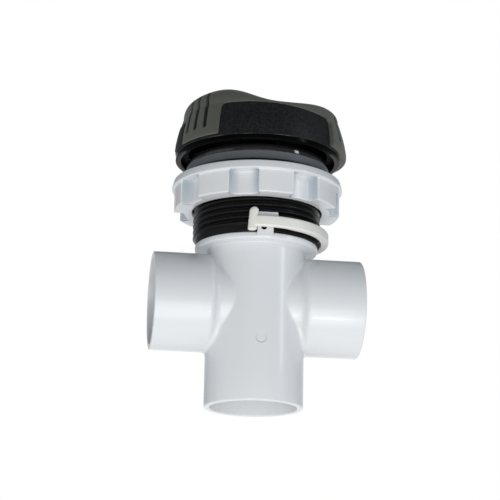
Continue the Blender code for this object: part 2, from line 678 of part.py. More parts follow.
def handle_envelope():
    """The handle's outer form above the skirt, lofted through rings from its foot to the top's centre."""
    bm = bmesh.new()
    levels = (0.0, 0.5, 1.0, 1.25, 1.5, 1.75, 2.0, 2.3, 2.65)
    rings = []
    for level in levels:
        angles = (math.tau * i / ROUND for i in range(ROUND))
        rings.append([bm.verts.new(envelope_point(angle, level)) for angle in angles])
    centre = bm.verts.new(envelope_point(0.0, 3.0))
    for i in range(ROUND):
        j = (i + 1) % ROUND
        for low, high in zip(rings, rings[1:]):
            bm.faces.new((low[i], low[j], high[j], high[i]))
        bm.faces.new((rings[-1][i], rings[-1][j], centre))
    bm.faces.new(reversed(rings[0]))
    bmesh.ops.recalc_face_normals(bm, faces=bm.faces)
    bmesh.ops.rotate(bm, cent=(0, 0, 0), matrix=Matrix.Rotation(HANDLE_ANGLE, 3, "Z"), verts=bm.verts)
    return mesh_from(bm, "handle_overmould")


def groove_cutter(name, angle):
    """A finger groove's cutter at an angle from the nose: a bar that leans in with the grip's wall."""
    low, high = GROOVE_Z
    bm = bmesh.new()
    bmesh.ops.create_cube(bm, size=1.0)
    bmesh.ops.scale(bm, vec=(10 * MM, GROOVE_WIDTH, high - low), verts=bm.verts)
    bmesh.ops.translate(bm, vec=(5 * MM - GROOVE_DEPTH, 0, (high - low) / 2), verts=bm.verts)
    bmesh.ops.rotate(bm, cent=(0, 0, 0), matrix=Matrix.Rotation(GROOVE_LEAN, 3, "Y"), verts=bm.verts)
    bmesh.ops.translate(bm, vec=(envelope_radius(angle, low), 0, low), verts=bm.verts)
    turn = Matrix.Rotation(HANDLE_ANGLE + angle, 3, "Z")
    bmesh.ops.rotate(bm, cent=(0, 0, 0), matrix=turn, verts=bm.verts)
    return place(name, mesh_from(bm, name))


def build_overmould():
    """The soft grips: the envelope less the core, the panels' windows, the spine's notch, the grooves and the
    cap's well."""
    grip = place("handle_overmould", handle_envelope(), GRIP_GREY)
    cut(grip, disc("core_space", CORE_R + GAP, GRIP_FOOT - MM, PANEL_TOP + GAP))
    half_window = (PANEL_NOSE_ARC + PANEL_TAIL_ARC) / 2
    from_nose = math.pi / 2 - (PANEL_NOSE_ARC - PANEL_TAIL_ARC) / 2
    for title, turn in (("front", -from_nose), ("back", from_nose)):
        window = wedge(
            f"{title}_window", HANDLE_ANGLE + turn, half_window + WINDOW_GAP,
            (GRIP_FOOT - MM, PANEL_TOP + GAP),
        )
        cut(window, slant_block(f"{title}_window_slant", GAP))
        cut(grip, window)
    cut(grip, disc("cap_well", WELL_R, PANEL_TOP - MM, TAIL_HUMP[1], steps=SMALL_ROUND))
    spine_sides = (GRIP_FOOT - MM, SPINE_TOP + GAP)
    cut(grip, wedge("spine_window", HANDLE_ANGLE + math.pi, SPINE_HALF_ARC + WINDOW_GAP, spine_sides))
    for side, start in (("nose", 0.0), ("tail", math.pi)):
        for i, angle in enumerate(GROOVE_ANGLES):
            cut(grip, groove_cutter(f"{side}_groove_{i + 1}", start + angle))
    return grip


def build_fastening():
    head_low, head_high = SCREW_HEAD_Z
    profile = [
        (0.0, head_high), (SCREW_HEAD_R - 1.2 * MM, head_high), (SCREW_HEAD_R, head_high - 1.4 * MM),
        (SCREW_HEAD_R, head_low), (SCREW_SHANK_R, head_low), (SCREW_SHANK_R, SCREW_FOOT + MM),
        (SCREW_SHANK_R - 0.8 * MM, SCREW_FOOT), (0.0, SCREW_FOOT),
    ]
    screw = turned("handle_screw", profile, STEEL, SMALL_ROUND)
    half_length, half_width = SLOT_HALF
    slot_foot = head_high - SLOT_DEPTH
    for title, turn in (("cross_slot_a", 0.0), ("cross_slot_b", math.pi / 2)):
        slot = box(
            title, (-half_length, -half_width, slot_foot), (half_length, half_width, head_high + MM), turn
        )
        cut(screw, slot)
    ring("screw_washer", (SCREW_SHANK_R + GAP, SCREW_WASHER_R), SCREW_WASHER_Z, STEEL, SMALL_ROUND)
    low, high = CAP_Z
    profile = [
        (0.0, high), (CAP_R - 1.2 * MM, high), (CAP_R, high - 0.8 * MM), (CAP_R, low),
        (CAP_R - CAP_WALL, low), (CAP_R - CAP_WALL, high - CAP_WALL), (0.0, high - CAP_WALL),
    ]
    turned("handle_cap", profile, BLACK, SMALL_ROUND)


build_body()
build_collar()
build_clip()
build_nut()
build_bonnet()
build_stem()
build_rotor()
build_handle_base()
build_overmould()
build_fastening()
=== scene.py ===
"""The three way valve's looks: fine moulded surfaces, their finishes, and a plain studio round them."""

import math

import bmesh
import bpy
import numpy as np
from mathutils import Matrix, Vector


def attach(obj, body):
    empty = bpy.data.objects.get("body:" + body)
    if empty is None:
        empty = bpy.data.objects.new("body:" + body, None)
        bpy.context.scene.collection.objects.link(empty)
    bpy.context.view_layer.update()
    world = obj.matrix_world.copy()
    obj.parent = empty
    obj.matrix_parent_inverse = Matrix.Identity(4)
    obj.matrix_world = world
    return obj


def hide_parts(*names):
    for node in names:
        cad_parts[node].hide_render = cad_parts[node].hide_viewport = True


MM = 0.001
STEPS, SMALL_STEPS, SMALL_R = 144, 96, 20.0

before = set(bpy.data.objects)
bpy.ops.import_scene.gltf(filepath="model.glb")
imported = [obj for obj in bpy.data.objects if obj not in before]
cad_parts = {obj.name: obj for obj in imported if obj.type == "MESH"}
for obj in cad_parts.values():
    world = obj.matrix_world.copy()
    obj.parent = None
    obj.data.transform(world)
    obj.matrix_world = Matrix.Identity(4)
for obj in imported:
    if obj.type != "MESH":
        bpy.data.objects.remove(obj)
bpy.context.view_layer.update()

# Lengths are in millimetres and angles in radians.

# Body
SOCKET_R, SOCKET_BORE_R, SOCKET_DEPTH, THROAT_R = 34.2, 30.25, 38.0, 26.5
PORT_REACH, PORT_AXIS_Z, PORT_NECK_R, PORT_THROAT_R = 72.7, 72.6, 29.6, 25.7
PORT_SHOULDER = (29.0, 33.0)
PORT_START, PORT_SWITCH, PORT_SPACING = 60.0, 40.0, 0.2
CHAMBER_R, CHAMBER_FLOOR = 30.2, 44.0
FLANGE_R, FLANGE_Z = 43.0, (110.0, 114.4)
BARREL_SKIN_Z, CHAMBER_SKIN_Z = (24.0, FLANGE_Z[0] - 0.7), (CHAMBER_FLOOR + 1.2, 100.5)
NECK_R, NECK_TOP, NECK_GROOVE_R, NECK_GROOVE_Z = 37.5, 148.0, 34.6, (140.5, 143.5)
KEY_ANGLE, KEY_R, KEY_TOP, KEY_BEVEL = math.radians(-90.0), (45.1, 46.0), 127.6, 0.12
KEY_HOLE, KEY_HOLE_R, KEY_FOOT_HALF = (-1.0, 117.0), 2.0, 5.3
PORT_FILLET, PORT_FILLET_TOP = 3.2, 1.1
MARK_Z, MARK_R = 43.0, (3.75, 3.35)

# Collar, clip and nut
THREAD_PITCH, THREAD_CREST_R, THREAD_ROOT_R = 25.4 / 6, 44.7, 42.6
THREAD_Z, THREAD_FADE = (117.5, 157.0), 0.12
COLLAR_BORE_R, COLLAR_FOOT, COLLAR_FLANGE_R, COLLAR_FLANGE_Z = 38.2, 114.7, 50.5, (164.4, 170.4)
CLIP_R, CLIP_Z = (46.9, 50.8), (116.4, 124.1)
CLIP_START, CLIP_ARC = math.radians(-102.5), math.radians(215.0)
POST_R, POST_Z, POST_LEAN, POST_FLATNESS = 3.1, (113.6, 130.0), 0.09, 0.66
NUT_Z, NUT_FLANGE_FOOT, NUT_FLANGE_R = (138.4, 160.7), 154.6, (60.3, 58.9)
NUT_LUG_R, NUT_RECESS_R, NUT_BORE_R, LUGS = 58.4, 51.4, 45.4, 8
LUG_HALF, FIRST_LUG = math.radians(12.25), math.radians(5.5)

# Handle
HANDLE_ANGLE = math.radians(8.0)
SKIRT_R, SKIRT_BORE_R, SKIRT_Z = 58.5, 54.6, (176.2, 180.8)
PANEL_TOP, PANEL_FOOT, PANEL_MIDDLE, PANEL_SLOPE = 204.4, 179.3, 203.05, 0.042
PANEL_TAIL_ARC, PANEL_NOSE_ARC, PANEL_LEAN = (math.radians(a) for a in (43.8, 45.8, 4.0))
GRIP_FOOT, GRIP_R, GRIP_BARREL, GRIP_BARREL_TOP, NOSE = 181.2, 58.7, 7.0, 211.0, 4.8
SADDLE_TOP, TAIL_HUMP, NOSE_HUMP, HUMP_FALL = 207.2, (-35.0, 218.3), (40.0, 211.6), 1.4
SHOULDER_Z, SHOULDER_WIDTH, NOSE_SHOULDER = (203.8, 206.0), (10.0, 13.5), 6.5
WELL_R, SCREW_FLOOR, HOLLOW_TOP = 14.2, 199.4, 197.6
HUB_R, HUB_FOOT, STEM_HOLE_R = 13.0, 177.5, 6.9
WINDOW_R, GRIP_INNER_R, WALL_HEIGHT = 53.0, 52.0, 24.0
GROOVE_ARC_R, PANEL_ARC_R = 56.0, 57.0
GROOVE_ANGLES, GROOVE_LEAN = np.radians((14.6, 24.3, 34.0)), math.radians(2.4)
GROOVE_WIDTH, GROOVE_DEPTH, GROOVE_FOOT = 3.2, 2.6, 0.35
SPINE_HALF_ARC, SPINE_TOP, SPINE_HEIGHT = math.radians(9.0), 198.0, 0.5


# Surfaces

def rounded(corners, closed=True, pieces=6):
    """A profile's points, with every corner (a, b, radius) that has a radius turned into an arc."""
    points = []
    last = len(corners) - 1
    for i, (a, b, radius) in enumerate(corners):
        here = np.array((a, b), float)
        if radius == 0 or (not closed and i in (0, last)):
            points.append(here)
            continue
        back = np.array(corners[i - 1][:2]) - here
        ahead = np.array(corners[(i + 1) % (last + 1)][:2]) - here
        back /= np.linalg.norm(back)
        ahead /= np.linalg.norm(ahead)
        half = math.acos(np.clip(back @ ahead, -1, 1)) / 2
        middle = (back + ahead) / np.linalg.norm(back + ahead)
        centre = here + middle * radius / math.sin(half)
        start = here + back * radius / math.tan(half) - centre
        first = math.atan2(start[1], start[0])
        end = here + ahead * radius / math.tan(half) - centre
        sweep = (math.atan2(end[1], end[0]) - first + math.pi) % math.tau - math.pi
        for k in range(pieces + 1):
            angle = first + sweep * k / pieces
            points.append(centre + radius * np.array((math.cos(angle), math.sin(angle))))
    return np.array(points)


def even(steps):
    return np.arange(steps) * math.tau / steps


def on_cylinder(radius, angle, height):
    return np.stack((radius * np.cos(angle), radius * np.sin(angle), height), axis=-1)


def turned(profile, angles, closed=True):
    """Rows of points of a profile (radius, height) turned about Z."""
    if closed:
        profile = np.vstack((profile, profile[:1]))
    return on_cylinder(profile[:, :1], angles, profile[:, 1:] + 0 * angles)


class Skin:
    """Sheets of quads, in millimetres, that are welded into one mesh."""

    def __init__(self):
        self.points, self.quads, self.count = [], [], 0

    def sheet(self, rows, wrap=True):
        rows = np.asarray(rows, float)
        index = self.count + np.arange(rows.shape[0] * rows.shape[1]).reshape(rows.shape[:2])
        after = np.roll(index, -1, axis=1)
        if not wrap:
            index, after = index[:, :-1], index[:, 1:]
        quads = np.stack((index[:-1], after[:-1], after[1:], index[1:]), axis=-1)
        self.points.append(rows.reshape(-1, 3))
        self.quads.append(quads.reshape(-1, 4))
        self.count += rows.shape[0] * rows.shape[1]
        return self

    def lathe(self, corners, angles=None, closed=True, pieces=6):
        angles = even(STEPS) if angles is None else angles
        return self.sheet(turned(rounded(corners, closed, pieces), angles, closed))

    def mesh(self, name, keep=None, sharp=38.0):
        points, quads = np.vstack(self.points) * MM, np.vstack(self.quads)
        if keep is not None:
            quads = quads[keep(quads)]
        data = bpy.data.meshes.new(name)
        data.from_pydata(points.tolist(), [], quads.tolist())
        bm = bmesh.new()
        bm.from_mesh(data)
        bmesh.ops.remove_doubles(bm, verts=bm.verts, dist=0.004 * MM)
        bmesh.ops.dissolve_degenerate(bm, edges=bm.edges, dist=0.004 * MM)
        loose = [v for v in bm.verts if not v.link_faces]
        bmesh.ops.delete(bm, geom=loose, context="VERTS")
        bmesh.ops.recalc_face_normals(bm, faces=bm.faces)
        bm.to_mesh(data)
        bm.free()
        data.shade_smooth()
        data.set_sharp_from_angle(angle=math.radians(sharp))
        return data


def add(name, data, finish, slot, body, *nodes):
    """Puts a piece in the scene on its body, with its finish, in place of its CAD nodes."""
    obj = bpy.data.objects.new(name, data)
    bpy.context.scene.collection.objects.link(obj)
    data.materials.append(finish)
    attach(obj, body)
    if nodes:
        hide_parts(*nodes)
    return obj


# Finishes

class Finish:
    """A node-built material: small helpers round one Principled shader."""

    def __init__(self, name, **values):
        self.material = bpy.data.materials.new(name)
        self.material.use_nodes = True
        self.nodes = self.material.node_tree.nodes
        self.links = self.material.node_tree.links
        self.shader = self.nodes["Principled BSDF"]
        self.bump = None
        for title, value in values.items():
            self.shader.inputs[title.replace("_", " ")].default_value = value
        self.where = self.nodes.new("ShaderNodeTexCoord").outputs["Object"]

    def stretch(self, scale):
        node = self.nodes.new("ShaderNodeMapping")
        node.inputs["Scale"].default_value = scale
        self.links.new(self.where, node.inputs["Vector"])
        return node.outputs["Vector"]

    def noise(self, scale, detail=3.0, rough=0.5, vector=None):
        node = self.nodes.new("ShaderNodeTexNoise")
        node.inputs["Scale"].default_value = scale
        node.inputs["Detail"].default_value = detail
        node.inputs["Roughness"].default_value = rough
        self.links.new(vector or self.where, node.inputs["Vector"])
        return node.outputs["Fac"]

    def ramp(self, value, low, high, start=0.3, end=0.7):
        """Maps a value onto a range, or between two colours."""
        if isinstance(low, tuple):
            node = self.nodes.new("ShaderNodeValToRGB")
            for stop, place, colour in zip(node.color_ramp.elements, (start, end), (low, high)):
                stop.position = place
                stop.color = (*colour, 1.0)
            self.links.new(value, node.inputs["Fac"])
            return node.outputs["Color"]
        node = self.nodes.new("ShaderNodeMapRange")
        for title, number in zip(("From Min", "From Max", "To Min", "To Max"), (start, end, low, high)):
            node.inputs[title].default_value = number
        self.links.new(value, node.inputs["Value"])
        return node.outputs["Result"]

    def math(self, operation, a, b=None):
        node = self.nodes.new("ShaderNodeMath")
        node.operation = operation
        for socket, value in zip(node.inputs, (a, b)):
            if value is None:
                continue
            if isinstance(value, (int, float)):
                socket.default_value = value
            else:
                self.links.new(value, socket)
        return node.outputs["Value"]

    def axes(self):
        node = self.nodes.new("ShaderNodeSeparateXYZ")
        self.links.new(self.where, node.inputs["Vector"])
        return (node.outputs[axis] for axis in "XYZ")

    def relief(self, height, strength, distance):
        """Adds a bump on top of those before it."""
        node = self.nodes.new("ShaderNodeBump")
        node.inputs["Strength"].default_value = strength
        node.inputs["Distance"].default_value = distance * MM
        self.links.new(height, node.inputs["Height"])
        if self.bump:
            self.links.new(self.bump, node.inputs["Normal"])
        self.bump = node.outputs["Normal"]
        self.links.new(self.bump, self.shader.inputs["Normal"])

    def colour(self, value):
        self.links.new(value, self.shader.inputs["Base Color"])

    def over(self, colour, share):
        """Lays a colour over the present one, in a given share."""
        node = self.nodes.new("ShaderNodeMixRGB")
        node.inputs["Color2"].default_value = (*colour, 1.0)
        self.links.new(share, node.inputs["Fac"])
        self.links.new(self.shader.inputs["Base Color"].links[0].from_socket, node.inputs["Color1"])
        self.colour(node.outputs["Color"])

    def roughness(self, value):
        self.links.new(value, self.shader.inputs["Roughness"])


def moulded(name, colours, rough, grain, grain_depth, ripple, **values):
    """A moulded plastic: faint flow marks of two colours, uneven gloss, a fine grain and a slow ripple."""
    made = Finish(name, **values)
    if colours:
        flow = made.noise(16.0, 2.0, 0.45, made.stretch((1.0, 1.0, 0.4)))
        made.colour(made.ramp(flow, *colours, 0.2, 0.8))
    made.roughness(made.ramp(made.noise(95.0, 3.0, 0.6), *rough))
    made.relief(made.noise(grain, 2.0, 0.5), 0.5, grain_depth)
    made.relief(made.noise(38.0, 1.0, 0.4), 0.35, ripple)
    return made


def shaded_recesses(made):
    """The share of shade on the nut's recess walls, strongest up under the flange."""
    x, y, z = made.axes()
    radius = made.math("SQRT", made.math("ADD", made.math("POWER", x, 2.0), made.math("POWER", y, 2.0)))
    turn = made.math("SUBTRACT", made.math("ARCTAN2", y, x), FIRST_LUG + math.pi / LUGS)
    from_middle = made.math("PINGPONG", turn, math.pi / LUGS)
    gap = math.pi / LUGS - LUG_HALF
    wall = made.ramp(from_middle, 0.0, 1.0, 0.4 * gap, 0.95 * gap)
    inside = made.ramp(radius, 1.0, 0.0, (NUT_LUG_R - 1.6) * MM, (NUT_LUG_R - 0.1) * MM)
    height = made.ramp(z, 0.55, 1.0, NUT_Z[0] * MM, NUT_FLANGE_FOOT * MM)
    below = made.math("LESS_THAN", z, (NUT_FLANGE_FOOT + 0.3) * MM)
    outside = made.math("GREATER_THAN", radius, (NUT_RECESS_R - 0.6) * MM)
    beside = made.math("LESS_THAN", from_middle, 1.06 * gap)
    share = 0.74
    for part in (wall, inside, height, below, outside, beside):
        share = made.math("MULTIPLY", part, share)
    return share


def white_plastic(name):
    return moulded(
        name, ((0.655, 0.672, 0.690), (0.668, 0.684, 0.700)), (0.29, 0.33), 900.0, 0.01, 0.02,
        IOR=1.5, Coat_Weight=0.2, Coat_Roughness=0.1,
    )


def body_white():
    """White, with the ejector pin's round mark on the barrel's front."""
    made = white_plastic("white_plastic_body")
    x, y, z = made.axes()
    across = made.math("POWER", x, 2.0)
    above = made.math("POWER", made.math("SUBTRACT", z, MARK_Z * MM), 2.0)
    away = made.math("SQRT", made.math("ADD", across, above))
    front = made.math("LESS_THAN", y, 0.0)
    sunk = made.math("MULTIPLY", made.ramp(away, 0.0, 1.0, MARK_R[0] * MM, MARK_R[1] * MM), front)
    made.relief(sunk, 1.0, -0.45)
    return made.material


def nut_white():
    """White, with painted blue-grey shade in the recesses."""
    made = white_plastic("white_plastic_nut")
    made.over((0.28, 0.36, 0.42), shaded_recesses(made))
    return made.material


def panel_plastic():
    """Textured black, with specks of a lighter grain and a lighter, patchy band along the lower edge, part
    scuff and part painted highlight.
    """
    made = moulded("black_panel", None, (0.42, 0.55), 800.0, 0.12, 0.03, IOR=1.48, Specular_IOR_Level=0.22)
    grain = made.noise(620.0, 2.0, 0.6)
    made.colour(made.ramp(grain, (0.003, 0.0032, 0.004), (0.013, 0.0135, 0.0155), 0.35, 0.65))
    height = list(made.axes())[2]
    # Part scuff, part painted highlight: a lighter, patchy band along the panel's lower edge.
    edge = made.ramp(height, 1.0, 0.0, (PANEL_FOOT + 0.1) * MM, (PANEL_FOOT + 0.7) * MM)
    patchy = made.ramp(made.noise(55.0, 3.0, 0.6), 0.0, 0.8, 0.5, 0.62)
    made.over((0.10, 0.095, 0.085), made.math("MULTIPLY", edge, patchy))
    return made.material


def steel():
    made = Finish("stainless_steel", Metallic=1.0)
    turned_marks = made.noise(260.0, 4.0, 0.65, made.stretch((1.0, 1.0, 9.0)))
    made.colour(made.ramp(turned_marks, (0.52, 0.52, 0.51), (0.64, 0.64, 0.63)))
    made.roughness(made.ramp(made.noise(420.0), 0.28, 0.38))
    made.relief(turned_marks, 0.25, 0.01)
    return made.material


def plastic(*looks, **values):
    return moulded(*looks, **values).material


BODY_WHITE, NUT_WHITE = body_white(), nut_white()
CLIP_WHITE = plastic(
    "clip_plastic", ((0.69, 0.675, 0.64), (0.74, 0.725, 0.69)), (0.3, 0.42), 1000.0, 0.015, 0.03, IOR=1.5
)
INNER = plastic(
    "inner_plastic", ((0.31, 0.32, 0.33), (0.36, 0.37, 0.38)), (0.3, 0.42), 1000.0, 0.015, 0.03, IOR=1.5
)
THREAD_BLACK = plastic(
    "black_plastic", ((0.0028, 0.0028, 0.003), (0.0045, 0.0045, 0.005)), (0.32, 0.42), 1000.0, 0.02, 0.03,
    IOR=1.5, Specular_IOR_Level=0.2,
)
PANEL_BLACK = panel_plastic()
GLOSS = plastic(
    "gloss_black_plastic", ((0.006, 0.006, 0.007), (0.009, 0.009, 0.010)), (0.05, 0.11), 700.0, 0.003, 0.03,
    IOR=1.52, Coat_Weight=0.3, Coat_Roughness=0.05,
)
GRIP = plastic(
    "grip_rubber", ((0.070, 0.071, 0.058), (0.083, 0.084, 0.069)), (0.55, 0.68), 1500.0, 0.05, 0.05,
    IOR=1.45, Sheen_Weight=0.12, Sheen_Roughness=0.5,
)
SATIN = plastic(
    "satin_black_plastic", ((0.112, 0.122, 0.134), (0.126, 0.136, 0.148)), (0.4, 0.5), 1200.0, 0.02, 0.02,
    IOR=1.5, Specular_IOR_Level=0.3,
)
RUBBER = plastic(
    "seal_rubber", ((0.02, 0.02, 0.02), (0.032, 0.031, 0.03)), (0.45, 0.62), 1400.0, 0.02, 0.03, IOR=1.5
)
STEEL = steel()
POLISHED = plastic(
    "polished_black", ((0.0015, 0.0016, 0.0016), (0.0025, 0.0026, 0.0026)), (0.12, 0.18),
    700.0, 0.003, 0.03, IOR=1.5, Specular_IOR_Level=0.025,
)
MATTE = plastic(
    "matte_black", ((0.001, 0.001, 0.001), (0.002, 0.002, 0.0018)), (0.5, 0.6), 700.0, 0.02, 0.03,
    IOR=1.5, Specular_IOR_Level=0.03,
)


# The body

def perimeter(radius, low, high, across=64, up=40):
    """Points (angle, height) once round the edge of half a cylinder's skin, corners included."""
    half = math.pi / 2
    side = np.linspace(-half, half, across + 1)[:-1]
    rise = np.linspace(high, low, up + 1)[:-1]
    nodes = [(a, high) for a in side] + [(half, z) for z in rise]
    nodes += [(-a, low) for a in side] + [(-half, low + high - z) for z in rise]
    return np.array(nodes)


def port_profile():
    """The port's outer profile (x, radius), from the socket inwards to inside the barrel."""
    inner, outer = PORT_SHOULDER
    corners = [
        (PORT_START, SOCKET_R, 0), (outer, SOCKET_R, 4.0), (inner, PORT_NECK_R, 5.0), (8.0, PORT_NECK_R, 0)
    ]
    coarse = rounded(corners, False, 16)
    length = np.concatenate(([0.0], np.cumsum(np.linalg.norm(np.diff(coarse, axis=0), axis=1))))
    fine = np.arange(0.0, length[-1], PORT_SPACING)
    return np.stack([np.interp(fine, length, coarse[:, k]) for k in (0, 1)], axis=1)


def port_point(x, radius, turn):
    return np.array((x, radius * math.sin(turn), PORT_AXIS_Z + radius * math.cos(turn)))


def rolled(profile, normals, turn):
    """Where a fillet's ball rests between port and barrel: its place on the profile, and its centre."""
    topness = (1 + math.cos(turn)) / 2
    fillet = PORT_FILLET + (PORT_FILLET_TOP - PORT_FILLET) * topness**6
    offset = profile + fillet * normals
    away = np.hypot(offset[:, 0], offset[:, 1] * math.sin(turn)) - (SOCKET_R + fillet)
    k = int(np.argmax(away < 0))
    share = away[k - 1] / (away[k - 1] - away[k])
    place = k - 1 + share
    x, radius = offset[k - 1] + (offset[k] - offset[k - 1]) * share
    return place, port_point(x, radius, turn), fillet


def arc(centre, start, end, pieces=8):
    """Points of the short arc between two points at the same distance from a centre."""
    a, b = start - centre, end - centre
    span = math.acos(np.clip(a @ b / np.linalg.norm(a) / np.linalg.norm(b), -1, 1))
    share = np.linspace(0, 1, pieces + 1)[:, None]
    return centre + (np.sin((1 - share) * span) * a + np.sin(share * span) * b) / math.sin(span)


def patch(radius, holes, nodes, rows=14):
    """A half cylinder's skin from the rim of a round hole out to the skin's edge."""
    rim = np.stack((np.arctan2(holes[:, 1], holes[:, 0]), holes[:, 2]), axis=1)
    share = (np.linspace(0, 1, rows) ** 1.4)[:, None, None]
    spread = rim + (nodes - rim) * share
    return on_cylinder(radius, spread[..., 0], spread[..., 1])


def valve_body():
    """The tee: a barrel, two side sockets with fillets round their necks, and a flange and neck on top."""
    body = Skin()
    low, high = BARREL_SKIN_Z
    inner_low, inner_high = CHAMBER_SKIN_Z
    nodes = perimeter(SOCKET_R, low, high)
    turns = np.arctan2(nodes[:, 0] * SOCKET_R, nodes[:, 1] - PORT_AXIS_Z)

    profile = port_profile()
    ahead = np.gradient(profile, axis=0)
    normals = np.stack((-ahead[:, 1], ahead[:, 0]), axis=1)
    normals *= np.sign(normals[:1, 1]) / np.linalg.norm(normals, axis=1)[:, None]
    switch = int((PORT_START - PORT_SWITCH) / PORT_SPACING)
    columns, fillets = [], []
    for turn in turns:
        place, centre, fillet = rolled(profile, normals, turn)
        steps = np.linspace(switch, place, 34)
        x = np.interp(steps, np.arange(len(profile)), profile[:, 0])
        radius = np.interp(steps, np.arange(len(profile)), profile[:, 1])
        columns.append([port_point(a, r, turn) for a, r in zip(x, radius)])
        flat = np.hypot(centre[0], centre[1])
        on_barrel = np.array((*(centre[:2] * SOCKET_R / flat), centre[2]))
        fillets.append(arc(centre, columns[-1][-1], on_barrel))
    shoulder = np.array(columns).transpose(1, 0, 2)
    fillets = np.array(fillets).transpose(1, 0, 2)

    inner_nodes = perimeter(CHAMBER_R, inner_low, inner_high)
    inner_turns = np.arctan2(inner_nodes[:, 0] * CHAMBER_R, inner_nodes[:, 1] - PORT_AXIS_Z)
    across = PORT_THROAT_R * np.sin(inner_turns)
    above = PORT_AXIS_Z + PORT_THROAT_R * np.cos(inner_turns)
    hole = np.stack((np.sqrt(CHAMBER_R**2 - across**2), across, above), axis=1)
    stop = PORT_REACH - SOCKET_DEPTH
    mouth = rounded([
        (PORT_START - PORT_SPACING * switch, SOCKET_R, 0), (PORT_REACH, SOCKET_R, 0.9),
        (PORT_REACH, SOCKET_BORE_R, 0.6), (stop, SOCKET_BORE_R, 0), (stop, PORT_THROAT_R, 0.4),
        (stop - 1.5, PORT_THROAT_R, 0),
    ], False)
    blend = np.linspace(0, 1, len(mouth))[:, None]
    columns_turn = turns + (inner_turns - turns) * np.clip(blend * 2 - 0.9, 0, 1)
    tube = np.stack((
        mouth[:, :1] + 0 * columns_turn,
        mouth[:, 1:] * np.sin(columns_turn),
        PORT_AXIS_Z + mouth[:, 1:] * np.cos(columns_turn),
    ), axis=-1)
    throat = np.linspace(tube[-1], hole, 8)
    for side in (1.0, -1.0):
        mirror = np.array((side, 1.0, 1.0))
        body.sheet(tube * mirror)
        body.sheet(throat * mirror)
        body.sheet(shoulder * mirror)
        body.sheet(fillets * mirror)
        body.sheet(patch(SOCKET_R, fillets[-1], nodes) * mirror)
        body.sheet(patch(CHAMBER_R, hole, inner_nodes) * mirror)

    half = np.linspace(-math.pi / 2, math.pi / 2, 65)
    angles = np.concatenate((half, half[1:-1] + math.pi))
    rim, groove = FLANGE_Z, NECK_GROOVE_Z
    body.lathe([
        (SOCKET_R, high, 0), (SOCKET_R, rim[0], 0.6), (FLANGE_R, rim[0], 1.3), (FLANGE_R, rim[1], 1.3),
        (NECK_R, rim[1], 0.4), (NECK_R, groove[0], 0.2), (NECK_GROOVE_R, groove[0], 0.2),
        (NECK_GROOVE_R, groove[1], 0.2), (NECK_R, groove[1], 0.2), (NECK_R, NECK_TOP, 0.5),
        (CHAMBER_R, NECK_TOP, 0.5), (CHAMBER_R, inner_high, 0),
    ], angles, False)
    body.lathe([
        (SOCKET_R, low, 0), (SOCKET_R, 0.0, 0.9), (SOCKET_BORE_R, 0.0, 0.6),
        (SOCKET_BORE_R, SOCKET_DEPTH, 0), (THROAT_R, SOCKET_DEPTH, 0.4), (THROAT_R, CHAMBER_FLOOR, 0.4),
        (CHAMBER_R, CHAMBER_FLOOR, 0), (CHAMBER_R, inner_low, 0),
    ], angles, False)
    return body.mesh("valve_body_skin")


def key_tab():
    """The upright tab on the flange, which has a wide head and a half-round hole, and the tab's foot."""
    outline = [(-5.5, 111.0), (5.5, 111.0), (5.5, 123.6), (9.2, 123.8), (8.4, KEY_TOP), (-5.5, KEY_TOP)]
    hole = [
        (KEY_HOLE[0] + KEY_HOLE_R * math.cos(t), KEY_HOLE[1] - KEY_HOLE_R * math.sin(t))
        for t in np.linspace(0, math.pi, 13)
    ]
    curve = bpy.data.curves.new("tab_outline", "CURVE")
    curve.dimensions = "2D"
    curve.fill_mode = "BOTH"
    curve.extrude = (KEY_R[1] - KEY_R[0]) / 2 * MM - KEY_BEVEL * MM
    curve.bevel_depth = KEY_BEVEL * MM
    curve.bevel_resolution = 2
    curve.offset = -KEY_BEVEL * MM
    for loop in (outline, hole):
        spline = curve.splines.new("POLY")
        spline.points.add(len(loop) - 1)
        for point, (a, b) in zip(spline.points, loop):
            point.co = (a * MM, b * MM, 0.0, 1.0)
        spline.use_cyclic_u = True
    made = bpy.data.objects.new("tab_outline", curve)
    bpy.context.scene.collection.objects.link(made)
    data = bpy.data.meshes.new_from_object(made.evaluated_get(bpy.context.evaluated_depsgraph_get()))
    bpy.data.objects.remove(made)
    stand = Matrix(((0, 0, 1), (1, 0, 0), (0, 1, 0))).to_4x4()
    place = Matrix.Translation(((KEY_R[0] + KEY_R[1]) / 2 * MM, 0, 0))
    data.transform(Matrix.Rotation(KEY_ANGLE, 4, "Z") @ place @ stand)
    foot = Skin()
    inner, outer, low, high = FLANGE_R - 2.0, KEY_R[1] - 0.3, FLANGE_Z[0] + 1.4, FLANGE_Z[1] - 0.5
    block = rounded([(inner, low, 0), (outer, low, 0.4), (outer, high, 0.4), (inner, high, 0)])
    sides = np.array((-KEY_FOOT_HALF, KEY_FOOT_HALF))
    rows = [[(a, b, h) for a, h in block] for b in sides]
    centre = block.mean(axis=0)
    ends = [[(centre[0], b, centre[1])] * len(block) for b in sides]
    turn = np.array(Matrix.Rotation(KEY_ANGLE, 3, "Z"))
    foot.sheet(np.array([ends[0], rows[0], rows[1], ends[1]]) @ turn.T)
    return data, foot.mesh("valve_key_foot")


add("valve_body_skin", valve_body(), BODY_WHITE, "white_plastic", "valve", "valve_body")
tab, tab_foot = key_tab()
add("valve_key_tab", tab, BODY_WHITE, "white_plastic", "valve", "valve_body")
add("valve_key_foot", tab_foot, BODY_WHITE, "white_plastic", "valve", "valve_body")


# Collar, clip, nut and rings

def ease(share):
    """A smooth step from 0 to 1."""
    share = min(max(share, 0.0), 1.0)
    return share * share * (3 - 2 * share)


